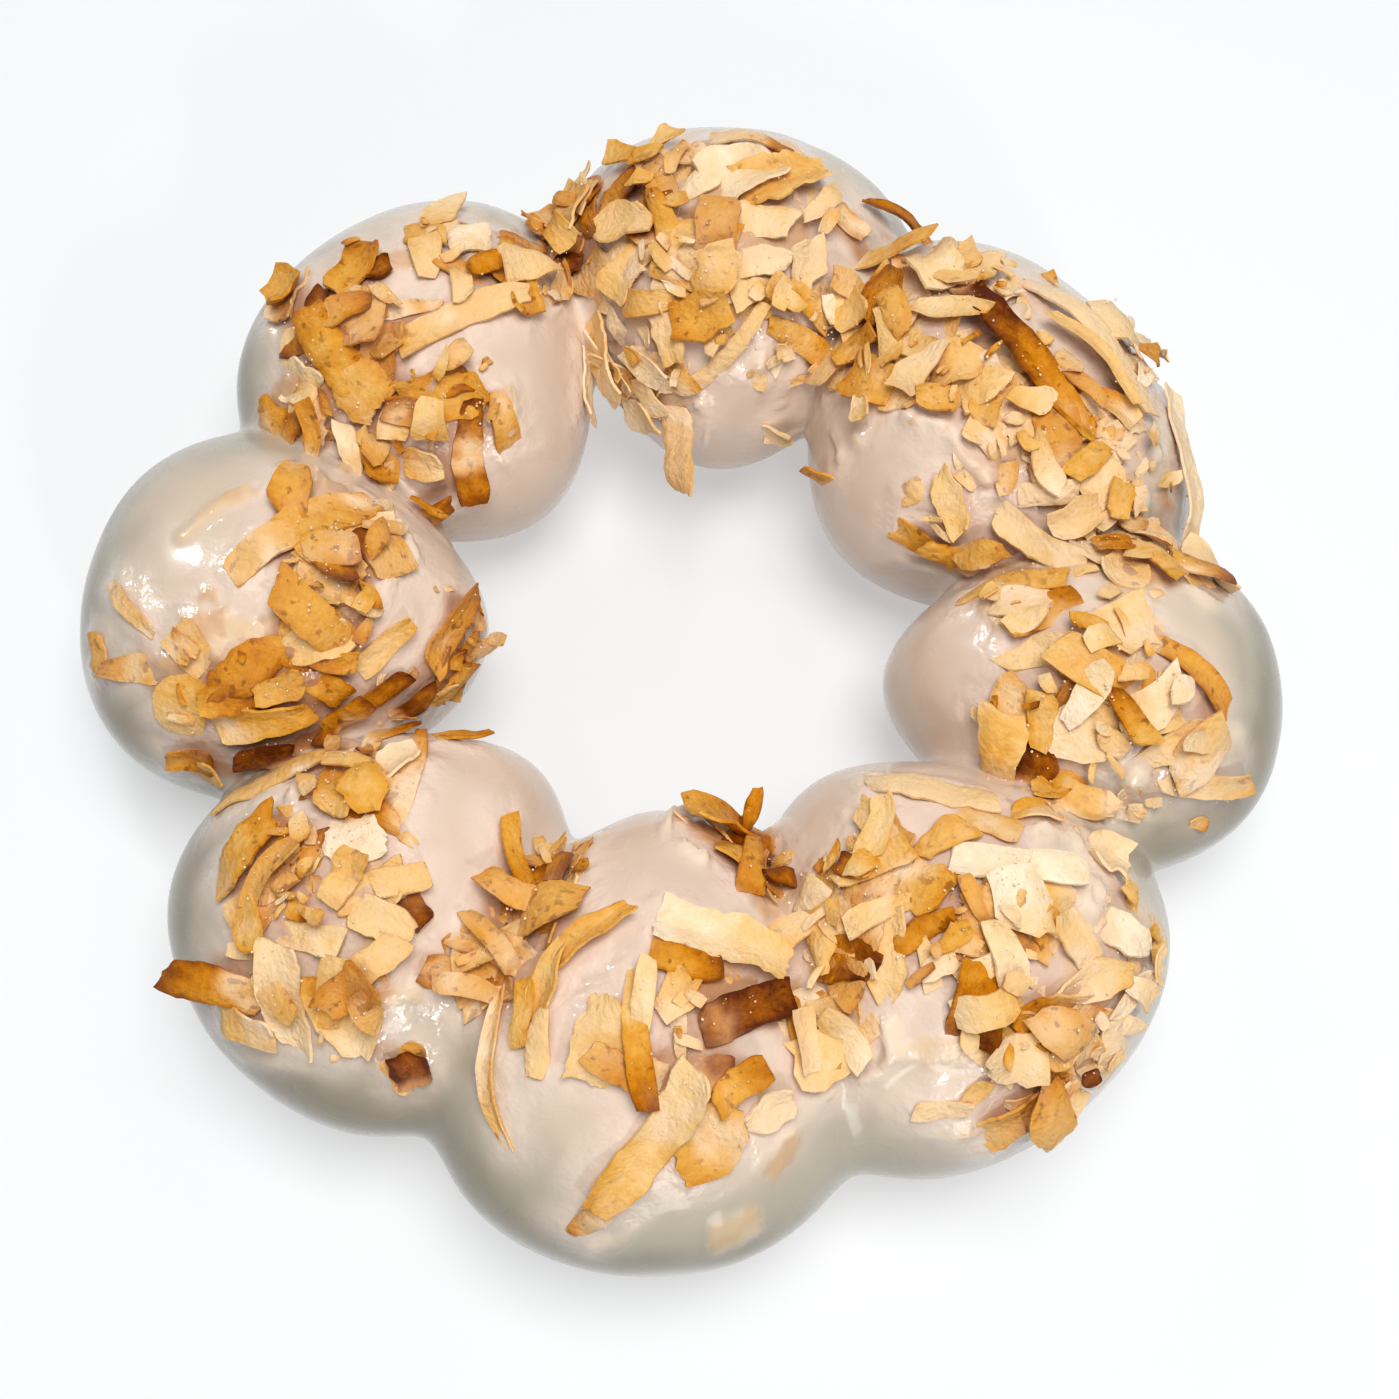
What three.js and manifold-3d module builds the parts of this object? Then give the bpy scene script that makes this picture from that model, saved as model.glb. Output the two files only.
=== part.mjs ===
// A mochi doughnut: eight uneven balls of fried dough joined in a ring, coated all over in a
// pale milk glaze and strewn with chips, strips and shreds of toasted coconut.
// Millimetres, +Z up. The origin is on the surface that the ring rests on, under its middle.

import * as THREE from "three";
import { ParametricGeometry } from "three/addons/geometries/ParametricGeometry.js";
import { mergeVertices } from "three/addons/utils/BufferGeometryUtils.js";
import Module from "manifold-3d";

// The balls in turn round the ring: direction in degrees from +X, reach of the ball's middle
// from the ring's axis, and its size outwards, along the ring and upwards.
const BALLS = [
  { angle: -7, reach: 33.6, length: 33, width: 26, height: 27 },
  { angle: 37, reach: 32.8, length: 31, width: 35, height: 28 },
  { angle: 83, reach: 34.8, length: 31, width: 30, height: 28 },
  { angle: 130, reach: 34.3, length: 31.6, width: 31, height: 27 },
  { angle: 175, reach: 33.3, length: 34, width: 30, height: 28 },
  { angle: 224, reach: 32.4, length: 33.5, width: 30, height: 27 },
  { angle: 266, reach: 32.6, length: 36, width: 31, height: 28 },
  { angle: 309, reach: 32.8, length: 33, width: 32, height: 28 },
];
const BALL_TAPER = 0.3; // a ball grows this share wider from its middle to its outer end
const TAPER_LIMITS = [0.3, 1.8]; // the least and most that the taper makes of the width
const SETTLED_DEPTH = 1.2; // how far each ball has sat down, which leaves a flat spot under it
const CREASE_FILL = 5; // how wide the glaze rounds out the crease between two balls
const CREASE_SHARPNESS = 4;

// Every section of the ring is measured by rays from a circle that runs inside the dough.
const CORE_RADIUS = 33;
const CORE_HEIGHT = 12.8;
const LONGEST_RAY = 32;
const RAY_HALVINGS = 26;

const STEPS_PER_BALL = 12;
const STEPS_ROUND_SECTION = 20;
const CREASE_CROWDING = 0.4; // how much closer the steps lie in a crease than on average
const SLOPE_STEP = 0.05; // half the step over which the glaze's slope is measured

const FLAKE_THICKNESS = 0.9;
const FLAKE_SUNK = 0.35; // depth of a flake's lowest corner in the glaze
const LONG_FLAKE = 8; // a flake longer than this bends in three steps, a shorter one in two
const BALL_CURVE = 15; // radius of the glaze that a limp flake bends over
const FLAKE_LIMPNESS = [0.1, 0.9]; // how much of that curve its two ends follow
const FLAKE_BOW = [-0.07, 0.07]; // sideways bow of its middle, as a share of its length
const FLAKE_TWIST = [-18, 18]; // turn of its ends, in degrees
const FLAKE_TAPER = [-0.3, 0.3]; // share by which one end is wider than the middle

// The flakes that stand out, each with its place (degrees round the ring, and lean of the
// section from its outermost point over the crown), length, width, heading in plan, and the
// tilt that lifts its leading end off the glaze.
const LARGE_FLAKES = [
  [37, 82, 19, 2.8, -56, 4],
  [18, 33, 15, 2.4, -82, 8],
  [63, 42, 9, 1.6, -10, 4],
  [60, 68, 9, 2.2, -10, 6],
  [82, 70, 6.8, 5.1, 24, 4],
  [79, 88, 6, 3, -5, 8],
  [71, 96, 5, 3, 90, 10],
  [82, 53, 7.6, 1.8, -20, 5],
  [98, 66, 5.5, 3, 20, 6],
  [104, 150, 8, 2.6, -44, 10],
  [81, 133, 10, 1.4, 57, 4],
  [68, 127, 7.7, 2.2, -34, 6],
  [88, 167, 7.6, 3.2, 261, 50],
  [126, 102, 12, 2.5, 30, 4],
  [139, 143, 9, 2.5, -85, 8],
  [143, 91, 6, 4.6, -58, 8],
  [135, 124, 4.6, 4, -12, 8],
  [151, 56, 5.4, 3.4, -20, 10],
  [169, 108, 9, 3.8, 33, 5],
  [188, 112, 5.2, 3.2, 21, 8],
  [181, 47, 7, 1.3, -44, 2],
  [182, 156, 7.5, 2.4, 78, 8],
  [195, 84, 7.8, 2.8, 17, 8],
  [205, 78, 10.6, 2.3, 2, 6],
  [216, 124, 9.2, 2, 81, 10],
  [221, 97, 4.8, 4.2, -10, 8],
  [213, 64, 7, 3, 39, 8],
  [228, 47, 8.4, 4, 90, 8],
  [241, 41, 3.4, 3.3, -66, 3],
  [222, 34, 8.2, 3, 164, 20],
  [226, 66, 5.2, 2.2, -9, 10],
  [251, 60, 12, 1.5, 89, 3],
  [246, 124, 6, 2.6, 88, 12],
  [256, 103, 10.5, 2, 34, 6],
  [276, 110, 10, 3.6, -16, 8],
  [278, 87, 7.4, 3, 22, 10],
  [266, 80, 10.2, 1.9, -84, 8],
  [267, 53, 13, 3.3, 57, 6],
  [284, 144, 7, 2.7, -24, 8],
  [319, 84, 8.4, 2.5, -8, 9],
  [321, 45, 4.6, 2.8, -17, 12],
  [306, 103, 5, 3.8, -26, 8],
  [298, 90, 7, 2.6, 77, 6],
  [314, 47, 7, 2.7, 15, 8],
  [336, 126, 8.2, 3.2, 62, 6],
  [350, 60, 8, 1.8, -39, 5],
  [341, 38, 8, 2.1, -8, 8],
  [320, 126, 10, 2.7, -25, 4],
  [12, 110, 8.8, 2.4, -37, 8],
  [6, 69, 9.5, 2.1, -64, 8],
  [2, 122, 9, 2.1, -17, 6],
  [23, 133, 5.6, 2.4, -82, 14],
  [98, 99, 4.3, 3.4, -50, 8],
  [147, 66, 3.6, 3.8, -15, 8],
  [213, 126, 3.3, 2.7, 47, 14],
  [273, 52, 5.8, 4.3, 45, 8],
  [327, 60, 3.5, 3.8, -13, 12],
  [303, 90, 5.1, 1.8, 26, 12],
  [335, 108, 4.4, 3.1, 65, 6],
  [34, 57, 16, 2.4, -48, 3],
];

// Where the rest of the coconut fell: middle of each drift (degrees round the ring, and lean),
// how far it spreads both ways, and its share of the flakes.
const DRIFTS = [
  [86, 82, 17, 36, 10],
  [82, 112, 24, 28, 11],
  [70, 126, 13, 24, 4],
  [95, 147, 9, 30, 3],
  [118, 78, 11, 32, 6],
  [140, 74, 10, 34, 5],
  [147, 94, 10, 44, 10],
  [136, 124, 11, 20, 5],
  [176, 112, 16, 18, 14],
  [183, 158, 13, 18, 3],
  [197, 102, 12, 66, 13],
  [219, 80, 12, 30, 10],
  [213, 112, 9, 20, 4],
  [228, 60, 10, 28, 8],
  [244, 98, 5, 26, 4],
  [247, 126, 6, 30, 6],
  [275, 94, 12, 18, 8],
  [272, 66, 9, 18, 7],
  [286, 148, 11, 20, 4],
  [299, 106, 11, 28, 12],
  [312, 81, 12, 28, 14],
  [308, 44, 8, 26, 8],
  [287, 74, 5, 16, 4],
  [335, 96, 12, 36, 12],
  [348, 87, 9, 24, 9],
  [3, 116, 10, 18, 5],
  [339, 42, 5, 22, 3],
  [52, 87, 12, 50, 8],
  [35, 94, 15, 28, 11],
  [24, 76, 12, 36, 9],
  [10, 78, 13, 50, 11],
  [22, 130, 8, 18, 4],
  [73, 84, 9, 26, 5],
  [31, 46, 9, 22, 4],
  [319, 46, 8, 20, 4],
  [221, 61, 7, 14, 4],
  [104, 56, 7, 26, 4],
  [347, 66, 5, 10, 3],
];
const STREWN_COUNT = 46;
const STREWN_LENGTHS = [7.6, 5]; // from the first flake strewn to the last
const STREWN_UNEVENNESS = [0.85, 1.15];
const STREWN_SLENDERNESS = [0.3, 0.55]; // width as a share of the length
const STREWN_TILTS = [3, 16];

// What the seeded draws decide, in the order that numbers them.
const DRAWS = ["limp", "bow", "twist", "taper", "drift", "size", "round1", "round2", "lean1", "lean2",
  "slender", "heading", "tilt"];
const DRAW_SEEDS = { flake: 127.1, purpose: 311.7, stretch: 43758.5453 };

const GLAZE_COLOUR = 0xe2c6a8;
const GLAZE_ROUGHNESS = 0.3;

const wasm = await Module();
wasm.setup();

const UP = new THREE.Vector3(0, 0, 1);
const { degToRad, euclideanModulo, lerp, clamp } = THREE.MathUtils;

function outwards(angle) {
  return new THREE.Vector3(Math.cos(angle), Math.sin(angle), 0);
}

// Rough distance from a point to one ball, less than zero inside it.
function ballDistance(ball, point) {
  const out = outwards(degToRad(ball.angle));
  const along = new THREE.Vector3().crossVectors(UP, out);
  const half = { out: ball.length / 2, along: ball.width / 2, up: ball.height / 2 };
  const x = point.dot(out) - ball.reach;
  const y = point.dot(along);
  const z = point.z - (half.up - SETTLED_DEPTH);
  const wide = half.along * clamp(1 + (BALL_TAPER * x) / half.out, ...TAPER_LIMITS);
  const size = Math.hypot(x / half.out, y / wide, z / half.up);
  return ((size - 1) * (half.out + half.along + half.up)) / 3;
}

// Distance to the glaze over all the balls: their least distance, rounded out in the creases.
function glazeDistance(point) {
  const distances = BALLS.map((ball) => ballDistance(ball, point));
  const least = Math.min(...distances);
  const sharp = CREASE_SHARPNESS / CREASE_FILL;
  const sum = distances.reduce((total, d) => total + Math.exp((least - d) * sharp), 0);
  return least - Math.log(sum) / sharp;
}

// The point of the glaze at an angle round the ring and a lean round its section.
function glazePoint(angle, lean) {
  const out = outwards(angle);
  const ray = out.clone().multiplyScalar(Math.cos(lean)).addScaledVector(UP, Math.sin(lean));
  const core = out.multiplyScalar(CORE_RADIUS).setZ(CORE_HEIGHT);
  let inside = 0;
  let outside = LONGEST_RAY;
  for (let i = 0; i < RAY_HALVINGS; i++) {
    const middle = (inside + outside) / 2;
    if (glazeDistance(core.clone().addScaledVector(ray, middle)) < 0) inside = middle;
    else outside = middle;
  }
  return core.addScaledVector(ray, inside);
}

// The direction straight out of the glaze, from the slope of its distance.
function glazeNormal(point) {
  const slope = ["x", "y", "z"].map((axis) => {
    const ahead = point.clone();
    const behind = point.clone();
    ahead[axis] += SLOPE_STEP;
    behind[axis] -= SLOPE_STEP;
    return glazeDistance(ahead) - glazeDistance(behind);
  });
  return new THREE.Vector3(...slope).normalize();
}

// The creases divide the angle between two neighbours as their widths do.
const creases = BALLS.map((ball, i) => {
  const next = BALLS[(i + 1) % BALLS.length];
  const gap = euclideanModulo(next.angle - ball.angle, 360);
  return ball.angle + (gap * ball.width) / (ball.width + next.width);
});

// Steps round the ring crowd towards the creases, where the glaze turns most.
function ringAngle(share) {
  const turn = share * BALLS.length;
  const index = Math.min(Math.floor(turn), BALLS.length - 1);
  const part = turn - index;
  const eased = part - (CREASE_CROWDING * Math.sin(2 * Math.PI * part)) / (2 * Math.PI);
  const start = creases[index];
  const end = index + 1 < BALLS.length ? creases[index + 1] : creases[0] + 360;
  return degToRad(lerp(start, end, eased));
}

function glazedRing() {
  return new ParametricGeometry(
    (u, v, target) => {
      target.copy(glazePoint(ringAngle(u), 2 * Math.PI * v));
      target.z = Math.max(target.z, 0);
    },
    STEPS_PER_BALL * BALLS.length,
    STEPS_ROUND_SECTION,
  );
}

// A seeded draw from 0 to 1, the same each time for a flake and a purpose.
function draw(flake, purpose) {
  const number = DRAWS.indexOf(purpose) + 1;
  const wave = Math.sin(flake * DRAW_SEEDS.flake + number * DRAW_SEEDS.purpose);
  return euclideanModulo(wave * DRAW_SEEDS.stretch, 1);
}

function drawBetween([low, high], flake, purpose) {
  return lerp(low, high, draw(flake, purpose));
}

// A draw from -1 to 1 that falls near 0 more often than far out.
function drawMiddling(flake, purpose) {
  return draw(flake, `${purpose}1`) + draw(flake, `${purpose}2`) - 1;
}

// A flake's own bends: its two ends droop over the ball, its middle bows sideways, its faces
// twist a little and one end is narrower than the other.
function flakeBends(index, length) {
  const fullDroop = length ** 2 / (8 * BALL_CURVE);
  return {
    droop: fullDroop * drawBetween(FLAKE_LIMPNESS, index, "limp"),
    bow: length * drawBetween(FLAKE_BOW, index, "bow"),
    twist: degToRad(drawBetween(FLAKE_TWIST, index, "twist")),
    taper: drawBetween(FLAKE_TAPER, index, "taper"),
  };
}

// A thin plate bent as above, laid on the glaze with its lowest corner sunk in.
function coconutFlake([angle, lean, length, width, heading, tilt], index) {
  const steps = length > LONG_FLAKE ? 3 : 2;
  const plate = new THREE.BoxGeometry(length, width, FLAKE_THICKNESS, steps, 1, 1);
  const bends = flakeBends(index, length);
  const corners = plate.attributes.position;
  const corner = new THREE.Vector3();
  for (let i = 0; i < corners.count; i++) {
    corner.fromBufferAttribute(corners, i);
    const s = (2 * corner.x) / length;
    corner.y *= 1 + bends.taper * s;
    corner.applyAxisAngle(new THREE.Vector3(1, 0, 0), bends.twist * s);
    corner.y += bends.bow * (1 - s * s);
    corner.z -= bends.droop * s * s;
    corners.setXYZ(i, ...corner);
  }

  const foot = glazePoint(degToRad(angle), degToRad(lean));
  const normal = glazeNormal(foot);
  const along = outwards(degToRad(heading)).projectOnPlane(normal).normalize();
  const across = new THREE.Vector3().crossVectors(normal, along);
  const place = new THREE.Matrix4()
    .makeBasis(along, across, normal)
    .multiply(new THREE.Matrix4().makeRotationY(-degToRad(tilt)));
  plate.applyMatrix4(place).translate(...foot);

  let lowest = Infinity;
  for (let i = 0; i < corners.count; i++) {
    lowest = Math.min(lowest, glazeDistance(corner.fromBufferAttribute(corners, i)));
  }
  return plate.translate(...normal.multiplyScalar(-FLAKE_SUNK - lowest));
}

// The drift that a share from 0 to 1 falls in.
function driftAt(share) {
  const total = DRIFTS.reduce((sum, drift) => sum + drift[4], 0);
  let reached = 0;
  return DRIFTS.find((drift) => {
    reached += drift[4] / total;
    return share <= reached;
  });
}

// The strewn flakes: each falls in a drift by its share, near the middle more often than far
// out, with any heading, and they get smaller from the first to the last.
function strewnFlakes() {
  return Array.from({ length: STREWN_COUNT }, (_, i) => {
    const [angle, lean, angleSpread, leanSpread] = driftAt(draw(i, "drift"));
    const size = lerp(...STREWN_LENGTHS, i / STREWN_COUNT);
    const length = size * drawBetween(STREWN_UNEVENNESS, i, "size");
    return [
      angle + angleSpread * drawMiddling(i, "round"),
      lean + leanSpread * drawMiddling(i, "lean"),
      length,
      length * drawBetween(STREWN_SLENDERNESS, i, "slender"),
      360 * draw(i, "heading"),
      drawBetween(STREWN_TILTS, i, "tilt"),
    ];
  });
}

// A closed geometry as a solid that can be joined.
function toSolid(geometry) {
  const bare = geometry.clone();
  bare.deleteAttribute("normal");
  bare.deleteAttribute("uv");
  const merged = mergeVertices(bare);
  const vertProperties = new Float32Array(merged.attributes.position.array);
  const triVerts = new Uint32Array(merged.index.array);
  return new wasm.Manifold(new wasm.Mesh({ numProp: 3, vertProperties, triVerts }));
}

function toGeometry(solid) {
  const { vertProperties, triVerts } = solid.getMesh();
  const geometry = new THREE.BufferGeometry();
  geometry.setAttribute("position", new THREE.BufferAttribute(vertProperties, 3));
  geometry.setIndex(new THREE.BufferAttribute(triVerts, 1));
  geometry.computeVertexNormals();
  return geometry;
}

// Ring and flakes joined. The largest body's outer skin is kept, so a pocket closed in under
// a flake is filled.
function strewnRing() {
  const flakes = [...LARGE_FLAKES, ...strewnFlakes()].map(coconutFlake);
  const joined = flakes.reduce((sum, flake) => sum.add(toSolid(flake)), toSolid(glazedRing()));
  const bodies = joined.decompose().sort((a, b) => b.volume() - a.volume());
  return toGeometry(bodies[0]);
}

const doughnut = new THREE.Mesh(
  strewnRing(),
  new THREE.MeshStandardMaterial({
    color: GLAZE_COLOUR,
    roughness: GLAZE_ROUGHNESS,
    metalness: 0,
  }),
);
doughnut.name = "doughnut";

const mochiDoughnut = new THREE.Group();
mochiDoughnut.add(doughnut);

export default mochiDoughnut;
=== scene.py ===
import bpy
import numpy as np
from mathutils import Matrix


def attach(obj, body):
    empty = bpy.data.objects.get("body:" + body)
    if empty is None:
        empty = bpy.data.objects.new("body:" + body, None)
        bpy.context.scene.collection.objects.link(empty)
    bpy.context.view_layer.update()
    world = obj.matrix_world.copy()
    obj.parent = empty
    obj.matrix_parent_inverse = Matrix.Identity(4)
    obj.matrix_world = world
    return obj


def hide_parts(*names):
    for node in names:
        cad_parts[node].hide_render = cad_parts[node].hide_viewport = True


# Mochi doughnut: eight joined balls of dough in a milk glaze, under toasted coconut.
# Sizes here are in millimetres and degrees; makePiece turns them to metres.

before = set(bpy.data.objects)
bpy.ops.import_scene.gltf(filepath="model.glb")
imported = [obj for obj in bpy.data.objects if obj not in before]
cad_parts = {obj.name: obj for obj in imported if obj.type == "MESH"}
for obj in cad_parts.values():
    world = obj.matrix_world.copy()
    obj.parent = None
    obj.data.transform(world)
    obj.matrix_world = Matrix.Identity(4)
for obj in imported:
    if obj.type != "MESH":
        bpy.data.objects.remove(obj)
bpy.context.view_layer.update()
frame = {"nodes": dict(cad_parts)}
mm = 0.001
print("frame loaded:", ", ".join(frame["nodes"]))


# small helpers

def hexToLinear(code):
    # sRGB hex to linear RGBA by the standard two-part curve
    part = np.array([int(code[i:i + 2], 16) for i in (1, 3, 5)]) / 255
    linear = np.where(part <= 0.04045, part / 12.92, ((part + 0.055) / 1.055) ** 2.4)
    return (*linear.tolist(), 1.0)


def addNode(tree, kind, settings=None, inputs=None, ramp=()):
    # one node: settings are its properties, inputs are values or links by socket, ramp is (place, hex)
    node = tree.nodes.new(kind)
    for name, value in (settings or {}).items():
        setattr(node, name, value)
    for key, value in (inputs or {}).items():
        if isinstance(value, bpy.types.NodeSocket):
            tree.links.new(value, node.inputs[key])
        else:
            node.inputs[key].default_value = value
    if ramp:
        stops = node.color_ramp.elements
        while len(stops) < len(ramp):
            stops.new(1.0)
        for stop, (place, code) in zip(stops, ramp):
            stop.position = place
            stop.color = hexToLinear(code)
    return node


def newMaterial(name):
    material = bpy.data.materials.new(name)
    material.use_nodes = True
    material.node_tree.nodes.clear()
    return material, material.node_tree


def makePiece(name, points, faces, material, attributes=None, sharpAngle=None):
    # a mesh object at the origin from points (mm) and four-cornered faces, with point attributes
    mesh = bpy.data.meshes.new(name)
    mesh.vertices.add(len(points))
    mesh.vertices.foreach_set("co", (points * mm).astype(np.float32).ravel())
    mesh.loops.add(faces.size)
    mesh.loops.foreach_set("vertex_index", faces.astype(np.int32).ravel())
    mesh.polygons.add(len(faces))
    mesh.polygons.foreach_set("loop_start", np.arange(0, faces.size, 4, dtype=np.int32))
    mesh.update(calc_edges=True)
    mesh.validate()
    mesh.shade_smooth()
    if sharpAngle:
        mesh.set_sharp_from_angle(angle=np.radians(sharpAngle))
    for key, values in (attributes or {}).items():
        kind = "FLOAT_VECTOR" if values.ndim == 2 else "FLOAT"
        layer = mesh.attributes.new(key, kind, "POINT")
        layer.data.foreach_set("vector" if values.ndim == 2 else "value", values.astype(np.float32).ravel())
    mesh.materials.append(material)
    piece = bpy.data.objects.new(name, mesh)
    bpy.context.scene.collection.objects.link(piece)
    return piece


def gridFaces(grid):
    # the four-cornered faces between neighbouring steps of a grid of point numbers
    return np.stack([grid[:-1, :-1], grid[1:, :-1], grid[1:, 1:], grid[:-1, 1:]], -1).reshape(-1, 4)


def unit(vectors):
    return vectors / np.linalg.norm(vectors, axis=-1, keepdims=True)


def mix(low, high, share):
    return low + (high - low) * share


def ease(values):
    # a smooth step from 0 to 1
    share = np.clip(values, 0, 1)
    return share ** 2 * (3 - 2 * share)


def between(values, start, end):
    # 0 at the start, 1 at the end, straight between them and level outside
    return np.clip((values - start) / (end - start), 0, 1)


sineStretch = 43758.5453    # makes the tail of a sine look random


def hashed(*numbers):
    # a fixed number from 0 to 1 for each set of numbers: the tail of a stretched sine
    total = sum(number * step for number, step in zip(numbers, (127.1, 311.7, 74.7)))
    return (np.sin(total) * sineStretch) % 1.0


def softNoise(points, size, seed):
    # value noise from -1 to 1: a hashed number at each corner of a lattice, blended smoothly between
    place = points / size
    cell = np.floor(place)
    blend = ease(place - cell)
    total = np.zeros(points.shape[:-1])
    for corner in np.ndindex(2, 2, 2):
        weight = np.prod(np.where(np.array(corner) == 1, blend, 1 - blend), axis=-1)
        wave = np.sin((cell + corner) @ np.array([12.9898, 78.233, 37.719]) + seed * 4.7)
        total += weight * ((wave * sineStretch) % 1.0)
    return total * 2 - 1


def layeredNoise(points, layers, seed):
    # soft noise in layers of (height, size), each with the next seed
    return sum(height * softNoise(points, size, seed + k) for k, (height, size) in enumerate(layers))


# the glazed ring

glaze = {
    # direction, reach, length outwards, width along the ring, height of each ball
    "balls": [
        (-7, 33.6, 33, 26, 27), (37, 32.8, 31, 35, 28), (83, 34.8, 31, 30, 28), (130, 34.3, 31.6, 31, 27),
        (175, 33.3, 34, 30, 28), (224, 32.4, 33.5, 30, 27), (266, 32.6, 36, 31, 28), (309, 32.8, 33, 32, 28),
    ],
    "taper": 0.3, "taperLimits": (0.3, 1.8), "settled": 1.2,
    "creaseFill": 5.0, "creaseSharpness": 4.0,
    "coreRadius": 33.0, "coreHeight": 12.8, "innerRadius": 16.0, "longestRay": 32.0, "halvings": 28,
    "stepsAround": 640, "stepsSection": 152, "crownCrowding": 22.0,
    "lumpSize": 11.0, "lumpHeight": 0.22,       # uneven dough under the glaze
    "runSize": 9.0, "runHeight": 0.3, "runStretch": 0.3,   # slow runs down the flanks, drawn out upright
    "foldSize": 2.4, "foldHeight": 0.22,        # folds in the glaze between the flakes
    "dimpleSize": 4.2, "dimpleHeight": 0.1,     # dimples over the crowns, which break up the gloss
    # heights over which these set in, from none to full
    "groundBand": (0, 2), "footBand": (0, 4), "runBand": (20, 8), "dimpleBand": (8, 18),
    "outerLeans": (120, 60),                    # it ran down the outer flanks more than into the hole
    "outerPool": (27.5, 14.5), "innerPool": (19, -11),     # from bare crown to thick glaze, darkened partly by painted shade
    "poolingAndShade": (1.7, 1.0, 1.0, 1.05, 1.65, 1.4, 1.25, 0.45),   # how thick it ran down each ball, and how much painted shade its flanks take
    "shadeEasedLow": 0.7, "shadeEasedBand": (19, 7),     # how far the painted shade of the flanks eases off low down
    "thin": 0.55, "thinBand": (14, 5),          # painted brown shade low on the flanks in the hole
    "meniscusReach": 0.8, "meniscusRise": 0.22, "meniscusLift": 0.3,   # drawn up round a flake that lies low
    "nearFlakeReach": 2.0, "nearFlakeLength": 4.0,      # reach round a flake this long or more: folds and painted light
    "sunkenRise": 0.26, "sunkenEdge": 0.65,     # swelling over a flake that the glaze covers
    "sunkenWander": ((0.35, 1.3), (0.25, 0.6)),
    "lapSize": 5.0, "lapShare": -0.1, "lapHighest": 1.2, "lapFilm": 0.12, "lapFade": 0.5,   # over low flakes
    "crowdShares": (0.5, 0.85), "crowdToasts": (0.46, 0.6), "crowdPale": 0.4,   # painted brown shade in gaps, more among dark flakes
}


def glazeDistance(points):
    # each ball: how far the point is outside a tapered ellipsoid, times its mean half size;
    # then a smooth minimum over the balls, which fills the creases
    parts = []
    for angle, reach, length, width, height in glaze["balls"]:
        turn = np.radians(angle)
        x = points[..., 0] * np.cos(turn) + points[..., 1] * np.sin(turn) - reach
        y = points[..., 1] * np.cos(turn) - points[..., 0] * np.sin(turn)
        z = points[..., 2] - (height / 2 - glaze["settled"])
        wide = width / 2 * np.clip(1 + glaze["taper"] * x / (length / 2), *glaze["taperLimits"])
        size = np.sqrt((x / (length / 2)) ** 2 + (y / wide) ** 2 + (z / (height / 2)) ** 2)
        parts.append((size - 1) * (length + width + height) / 6)
    parts = np.array(parts)
    least = parts.min(0)
    sharp = glaze["creaseSharpness"] / glaze["creaseFill"]
    return least - np.log(np.exp((least - parts) * sharp).sum(0)) / sharp


def glazePoint(angle, lean):
    # from a circle inside the dough, a ray at the lean of the section, halved down to the surface
    turn, rise = np.radians(angle), np.radians(lean)
    out = np.stack([np.cos(turn), np.sin(turn), 0 * turn], -1)
    up = np.array([0.0, 0.0, 1.0])
    core = out * glaze["coreRadius"] + up * glaze["coreHeight"]
    ray = out * np.cos(rise)[..., None] + up * np.sin(rise)[..., None]
    near = np.zeros(turn.shape)
    far = np.full(turn.shape, glaze["longestRay"])
    for _ in range(glaze["halvings"]):
        middle = (near + far) / 2
        inside = glazeDistance(core + ray * middle[..., None]) < 0
        near = np.where(inside, middle, near)
        far = np.where(inside, far, middle)
    return core + ray * near[..., None]


def glazeNormal(points):
    # the slope of the distance, by differences along the three axes
    step = 0.05
    slope = [glazeDistance(points + step * axis) - glazeDistance(points - step * axis) for axis in np.eye(3)]
    return unit(np.stack(slope, -1))


def sectionLean(share):
    # once round the section from underneath, with steps crowded over the crown
    return 360 * share - 90 + glaze["crownCrowding"] * np.sin(2 * np.pi * share)


def ringGrid():
    angle = np.arange(glaze["stepsAround"]) * 360 / glaze["stepsAround"]
    lean = sectionLean(np.arange(glaze["stepsSection"]) / glaze["stepsSection"])
    return np.meshgrid(angle, lean, indexing="ij")


def ringSteps(points):
    # the ring's nearest step round and round the section, for points close to the glaze
    angle = np.degrees(np.arctan2(points[..., 1], points[..., 0]))
    out = np.hypot(points[..., 0], points[..., 1]) - glaze["coreRadius"]
    lean = (np.degrees(np.arctan2(points[..., 2] - glaze["coreHeight"], out)) + 90) % 360
    shares = np.linspace(0, 1, 721)
    share = np.interp(lean, sectionLean(shares) + 90, shares)
    around = np.rint(angle / 360 * glaze["stepsAround"]).astype(int) % glaze["stepsAround"]
    section = np.rint(share * glaze["stepsSection"]).astype(int) % glaze["stepsSection"]
    return around, section


# the toasted coconut: where each flake lies and how it bends

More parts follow.
